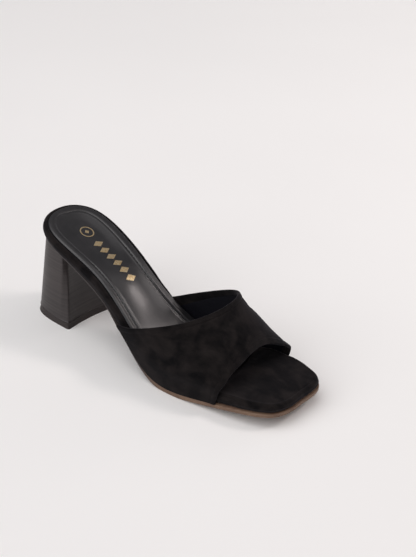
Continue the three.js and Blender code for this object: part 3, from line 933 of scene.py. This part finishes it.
def makeUpper():
    # outer skin and lining offset from the middle surface along its normal, joined by half circles
    b = band
    rows, columns = b["rows"], b["columns"]
    half = b["wall"] / 2
    s, t = np.meshgrid(np.linspace(0, 1, rows), np.linspace(0, 1, columns), indexing="ij")
    rough = bandSkin(s, t)
    lengths = np.linalg.norm(np.diff(rough, axis=0), axis=-1).sum(0)
    trim = half / lengths[None, :]  # room for the half circles
    s = trim + (1 - 2 * trim) * s
    skin = bandSkin(s, t)
    down = np.gradient(skin, axis=0)
    across = np.gradient(skin, axis=1)
    normal = np.cross(across, down)
    normal[:, [0, -1], 2] = 0
    normal /= np.linalg.norm(normal, axis=-1, keepdims=True)
    down /= np.linalg.norm(down, axis=-1, keepdims=True)
    fromCollar = s * lengths[None, :]
    fromOpening = (1 - s) * lengths[None, :]
    inFold = np.minimum(fromCollar, fromOpening)
    foldEnd = b["foldWidth"] + b["foldStep"]
    fold = b["foldRise"] * (1 - smoothStep(inFold, b["foldWidth"], foldEnd))
    fold = fold - b["foldGroove"] * bell(inFold, foldEnd, b["grooveWidth"])
    crest = smoothStep(t, 0.12, 0.3) * (1 - smoothStep(t, 0.82, 0.95))
    lip = -b["lipFall"] * np.clip(1 - fromOpening / b["lipWidth"], 0, 1) ** 2 * crest
    shape = fold + bandCreases(s, t) * smoothStep(np.minimum(t, 1 - t), 0.02, 0.12)
    turned = 1 - smoothStep(inFold, b["turnIn"] - 0.6, b["turnIn"])
    outer = skin + normal * (shape + lip)[..., None]
    inner = skin + normal * (lip - b["wall"] + b["turnInStep"] * (1 - turned))[..., None]
    turn = np.linspace(0, math.pi, 11)[1:-1]

    def rolled(row, sign):
        # half circle round the free edge, from the outer skin to the lining
        top, bottom = outer[row], inner[row]
        middle = (top + bottom) / 2
        arm = (top - bottom) / 2
        tip = down[row] * half * sign
        return np.array([middle + arm * math.cos(a) + tip * math.sin(a) for a in turn])

    openingRoll = rolled(-1, 1)
    collarRoll = rolled(0, -1)[::-1]
    halfRoll = len(turn) // 2
    loop = np.concatenate([collarRoll[halfRoll:], outer, openingRoll, inner[::-1], collarRoll[:halfRoll]])
    count = len(loop)
    faces = gridFaces(count, columns, wrapRows=True).tolist()
    turnRows = int(round(b["turnIn"] / (lengths.mean() / rows)))
    firstLining = halfRoll + rows + len(turn) + turnRows
    lastLining = count - halfRoll - turnRows
    isLining = (np.arange(count) >= firstLining) & (np.arange(count) < lastLining)
    index = np.repeat(isLining.astype(int), columns - 1).tolist()
    for column, order in ((0, 1), (columns - 1, -1)):
        for k in range(count // 2 - 1):
            quad = [k, k + 1, count - 2 - k, count - 1 - k]
            faces.append([q * columns + column for q in quad][::order])
            index.append(0)
    both = [suede, lining]
    makePiece("suedeBand", loop, faces, both, "suede", "upper", 75, merge=0.001, faceMaterial=index)


# Heel block and its top lift: a squarish D in plan, flared to the floor, hollow in front.
block = {
    "floor": {"back": -3.2, "breast": 41.2, "width": 49.2, "centre": heelCentre, "slant": 2.2},
    "seat": {"back": 2.9, "breast": 29.8, "width": 43.0, "centre": -0.2, "slant": 1.1},
    "seatLevel": 66.0,
    "squareness": 3.7,
    "hollow": 2.2,
    "cornerPasses": 5,  # rounds of averaging that soften the corners
    "lift": 5.0,
    "liftGap": 0.3,
    "liftRings": ((0.0, 0.5), (0.12, 0.18), (0.45, 0.0), (2.5, 0.0), (4.7, 0.0), (5.0, 0.25)),
    "footPinch": 0.35,
    "pinchShare": 0.012,
}


def heelRing(height):
    # superellipse round the back from the inner to the outer corner, then the hollow front
    share = height / block["seatLevel"]
    floor, seat = block["floor"], block["seat"]
    back, breast, width, centre, slant = [mix(floor[k], seat[k], share) for k in floor]
    turn = np.linspace(math.pi / 2, 3 * math.pi / 2, 160)
    power = 2 / block["squareness"]
    wave = lambda v: np.sign(v) * np.abs(v) ** power
    sides = wave(np.sin(turn))
    ahead = 1 + wave(np.cos(turn))
    ahead[[0, -1]] = 1
    rear = np.stack([mix(back, breast + slant * sides, ahead), centre + width / 2 * sides], -1)
    across = np.linspace(-1, 1, 60)
    frontX = breast + slant * across - block["hollow"] * (1 - across**2)
    front = np.stack([frontX, centre + across * width / 2], -1)
    ring = evenly(np.vstack([rear, front[1:-1], rear[:1]]), 241)[:-1]
    return softened(ring, block["cornerPasses"])


def heelLevels(levels):
    # ring whose points stand at different levels: each is taken between the floor and seat rings
    low, high = heelRing(0.0), heelRing(block["seatLevel"])
    return mix(low, high, (np.asarray(levels) / block["seatLevel"])[:, None])


def closedStack(rows, lidHeight):
    # rings stacked by level, closed at both ends on their middles
    bottom, top = rows[0], rows[-1]
    caps = [mix(bottom, bottom.mean(0), share) for share in (1.0, 0.5)]
    lids = [mix(top, top.mean(0), share) for share in (0.5, 1.0)]
    for lid in lids:
        lid[:, 2] = lidHeight(lid[:, 0])
    return np.concatenate([np.array(caps), np.array(rows), np.array(lids)])


def makeHeel():
    # levels run from the lift to the board's underside, which slopes with x
    low = block["lift"] + block["liftGap"]

    def underside(x):
        return featherHeight(x) - board["glue"] / 2

    rows = []
    for share in np.concatenate([[0, 0.004, block["pinchShare"]], np.linspace(0.03, 1, 40)]):
        ring = heelRing(mix(low, 60.0, share))
        for _ in range(4):  # the sloping ring settles in a few rounds
            ring = heelLevels(mix(low, underside(ring[:, 0]), share))
        pinch = block["footPinch"] * (1 - min(share / block["pinchShare"], 1)) ** 2
        ring = insetPath(ring, pinch)
        rows.append(np.column_stack([ring, mix(low, underside(ring[:, 0]), share)]))
    makeGrid("blockHeel", closedStack(rows, underside), [heelCover], "heel_cover", "heel", 60)


def makeTopLift():
    # rings drawn in at the floor and under the heel
    rows = []
    for level, pinch in block["liftRings"]:
        ring = insetPath(heelRing(level), pinch)
        rows.append(np.column_stack([ring, np.full(len(ring), level)]))
    grid = closedStack(rows, lambda x: 0 * x + block["lift"])
    makeGrid("topLift", grid, [topLiftRubber], "top_lift", "top_lift", 60)


# Outsole: thin sheet, thickest under the ball, ending at the heel's front face.
sheetSole = {
    "waist": 1.3,
    "ball": 4.1,
    "toe": 3.0,
    "plumpFrom": (100, 138),
    "plumpTo": (150, 200),
    "lipRound": 0.7,
    "upperLip": ((0.0, 0.3), (0.09, 0.09), (0.3, 0.0)),  # inset and drop of its top edge's rings
    # how far its edge stands outside the board edge, from one stretch of x to the next
    "overhang": (-1.2, -0.2, 1.0),
    "overhangFrom": ((36, 62), (82, 97)),
}


def soleOverhang(x):
    # three amounts, blended over each stretch
    over = sheetSole["overhang"][0]
    for stretch, following in zip(sheetSole["overhangFrom"], sheetSole["overhang"][1:]):
        over = mix(over, following, smoothStep(x, *stretch))
    return over


def treadHeight(x):
    # thickest at the ball, where it is cut flat on the floor
    thick = mix(sheetSole["waist"], sheetSole["ball"], smoothStep(x, *sheetSole["plumpFrom"]))
    thick = mix(thick, sheetSole["toe"], smoothStep(x, *sheetSole["plumpTo"]))
    return np.maximum(0, featherHeight(x) - board["glue"] / 2 - thick)


def soleOutline():
    # overhanging board edge, cut just ahead of the heel's breast where that meets the board
    seat = block["seat"]

    def breastX(y):
        spread = (y - seat["centre"]) / (seat["width"] / 2)
        hollow = block["hollow"] * (1 - spread**2)
        return seat["breast"] + block["liftGap"] + seat["slant"] * spread - hollow

    sides = []
    for side in bothSides(insetPath(edge, -soleOverhang(edge[:, 0]))):
        front = side[side[:, 0] > breastX(side[:, 1])]
        y = np.linspace(seat["centre"], front[0, 1], 40)[:-1]
        sides.append(np.vstack([np.stack([breastX(y), y], -1), front]))
    return softened(pairedRing(*sides), 3)


def makeOutsole():
    # edge section: quarter ellipse from the tread, a straight side, a small bevel at the top
    insets, heights = [], []
    r = sheetSole["lipRound"]

    def top(x):
        return featherHeight(x) - board["glue"] / 2

    def lip(x):
        return np.minimum(r, (top(x) - treadHeight(x)) / 2)

    for a in np.linspace(0, math.pi / 2, 6):
        insets.append(lambda x, a=a: 0 * x + r * (1 - math.sin(a)))
        heights.append(lambda x, y, a=a: treadHeight(x) + lip(x) * (1 - math.cos(a)))
    for share in (0.35, 0.65):
        insets.append(lambda x: 0 * x)
        heights.append(lambda x, y, s=share: mix(treadHeight(x) + lip(x), top(x) - 0.3, s))
    for depth, drop in sheetSole["upperLip"]:
        insets.append(lambda x, inset=depth: 0 * x + inset)
        heights.append(lambda x, y, fall=drop: top(x) - fall)

    def above(x, y, across):
        return top(x)

    def tread(x, y, across):
        return treadHeight(x)

    grid = plateGrid(soleOutline(), insets, heights, above, (16, 8), tread)
    makeGrid("sheetOutsole", grid, [outsoleRubber], "outsole", "outsole", 60)


# Foil ornament stamped on the sock in place of lettering: a ring, then a row of lozenges.
stamp = {
    "ring": (32.3, 1.1),
    "ringOuter": 5.5,
    "ringInner": 4.6,
    "rowFrom": (45.8, -0.7),
    "rowTo": (82.4, -4.4),
    "lozenges": 6,
    "halfLong": 2.9,
    "halfWide": 4.7,
    "dot": 1.95,  # half length and half width of the lozenge in the ring
    "lift": 0.05,
}


def laidOnSock(points):
    # flat shapes dropped onto the sock's surface
    x, y = points[..., 0], points[..., 1]
    z = sockTop(x, y, insetFrom(sockRing, x, y)) + stamp["lift"]
    return np.stack([x, y, z], -1)


def makeStamp():
    # grids on the sock: ring by angle and radius, lozenges by u + v along the row and v - u across
    spots, faces = [], []

    def add(grid, wrap):
        start = sum(len(s) for s in spots)
        spots.append(laidOnSock(grid).reshape(-1, 3))
        faces.extend((gridFaces(*grid.shape[:2], wrapColumns=wrap) + start).tolist())

    turn = np.linspace(0, 2 * math.pi, 72, endpoint=False)
    radii = np.linspace(stamp["ringInner"], stamp["ringOuter"], 4)
    circle = np.stack([np.cos(turn), np.sin(turn)], -1)[None]
    ringCentre = np.array(stamp["ring"])
    add(ringCentre + radii[:, None, None] * circle, True)
    first, final = np.array(stamp["rowFrom"]), np.array(stamp["rowTo"])
    along = (final - first) / np.linalg.norm(final - first)
    across = np.array([-along[1], along[0]])

    def addLozenge(centre, halfLong, halfWide, steps):
        u = np.linspace(-1, 1, steps)[:, None, None]
        v = np.linspace(-1, 1, steps)[None, :, None]
        add(centre + (u + v) / 2 * halfLong * along + (v - u) / 2 * halfWide * across, False)

    for share in np.linspace(0, 1, stamp["lozenges"]):
        addLozenge(mix(first, final, share), stamp["halfLong"], stamp["halfWide"], 13)
    addLozenge(ringCentre, stamp["dot"], stamp["dot"], 9)
    makePiece("foilStamp", np.concatenate(spots), faces, [foil], "sock", merge=0, isSheet=True)


# Camera: over the toe on the outer side, looking back and down.
view = {
    "place": (488.4, -473.8, 440.6),  # mm in the last's frame
    "aim": (114.3, 49.4, 44.7),
    "roll": 4.13,  # degrees
    "lens": 63.2,
    "sensor": 36,
}


def makeCamera():
    # looks from place to aim, then rolls about that line
    camera = bpy.data.objects.new("camera", bpy.data.cameras.new("camera"))
    bpy.context.scene.collection.objects.link(camera)
    place, aim = [Vector(np.array(view[k]) * mm + lastPlace) for k in ("place", "aim")]
    turn = (aim - place).to_track_quat("-Z", "Y").to_matrix()
    roll = Matrix.Rotation(math.radians(view["roll"]), 3, "Z")
    camera.matrix_world = Matrix.Translation(place) @ (turn @ roll).to_4x4()
    camera.data.lens = view["lens"]
    camera.data.sensor_width = view["sensor"]
    camera.data.clip_start = 0.01
    camera.data.clip_end = 20
    bpy.context.scene.camera = camera
    bpy.context.scene.view_settings.view_transform = "Standard"


# Studio: a pale floor that runs far back, broad soft daylight from above the outer side, a softbox
# high behind the inner side for the highlights, a wide low one behind, a large one overhead, a weak
# fill in front, and a dim surround.
studio = {
    "floorSize": 6.0,  # metres from the middle to each side
    "floor": "#f4f4f2",
    "floorTone": "#f7f7f5",
    "surround": "#f4f0f6",
    "surroundStrength": 0.2,
    "daylight": {"from": (-0.15, -0.6, 0.8), "spread": 75, "strength": 1.72, "colour": "#fdfbfb"},
    "softboxes": (
        # name, place, aim and width in metres, watts, colour
        ("backSoftbox", (0.93, 1.05, 1.46), (0.0, 0.0, 0.03), 0.45, 8.5, "#fff4f2"),
        ("backWall", (0.5, 1.9, 0.55), (0.0, 0.0, 0.03), 0.9, 4, "#fff6f4"),
        ("overheadSoftbox", (-0.3, 0.1, 1.9), (0.0, 0.1, 0.0), 1.6, 6, "#fdf9fa"),
        ("frontFill", (-0.6, -1.6, 0.6), (0.0, 0.0, 0.04), 1.2, 4, "#fbf8ff"),
    ),
}


def addLight(name, kind, place, aim, colour, **settings):
    # lamp that looks from its place to its aim
    lamp = bpy.data.objects.new(name, bpy.data.lights.new(name, kind))
    bpy.context.scene.collection.objects.link(lamp)
    lamp.data.color = linearColour(colour)[:3]
    for key, value in settings.items():
        setattr(lamp.data, key, value)
    place, aim = Vector(place), Vector(aim)
    turn = (aim - place).to_track_quat("-Z", "Y").to_matrix()
    lamp.matrix_world = Matrix.Translation(place) @ turn.to_4x4()


def makeStudio():
    # floor, surround and lamps
    size = studio["floorSize"]
    corners = [(-size, -size, 0), (size, -size, 0), (size, size, 0), (-size, size, 0)]
    mesh = bpy.data.meshes.new("floor")
    mesh.from_pydata(corners, [], [(0, 1, 2, 3)])
    material, surface = newMaterial("paintedFloor", **{"Roughness": 0.8, "Specular IOR Level": 0.2})
    tone = noise(material, objectPlace(material), 400.0, 2, 0.5)
    feed(surface, "Base Color", ramp(material, tone, [(0.3, studio["floor"]), (0.7, studio["floorTone"])]))
    mesh.materials.append(material)
    floor = bpy.data.objects.new("floor", mesh)
    bpy.context.scene.collection.objects.link(floor)
    world = bpy.data.worlds.new("surround")
    bpy.context.scene.world = world
    world.use_nodes = True
    background = world.node_tree.nodes["Background"]
    background.inputs["Color"].default_value = linearColour(studio["surround"])
    background.inputs["Strength"].default_value = studio["surroundStrength"]
    day = studio["daylight"]
    spread = math.radians(day["spread"])
    addLight("daylight", "SUN", day["from"], (0, 0, 0), day["colour"], angle=spread, energy=day["strength"])
    for name, place, aim, width, watts, colour in studio["softboxes"]:
        addLight(name, "AREA", place, aim, colour, shape="SQUARE", size=width, energy=watts)


makeCamera()
makeInsole()
makeSock()
makeStitches()
makeStamp()
makeUpper()
makeHeel()
makeTopLift()
makeOutsole()
makeStudio()
print("scene ready")
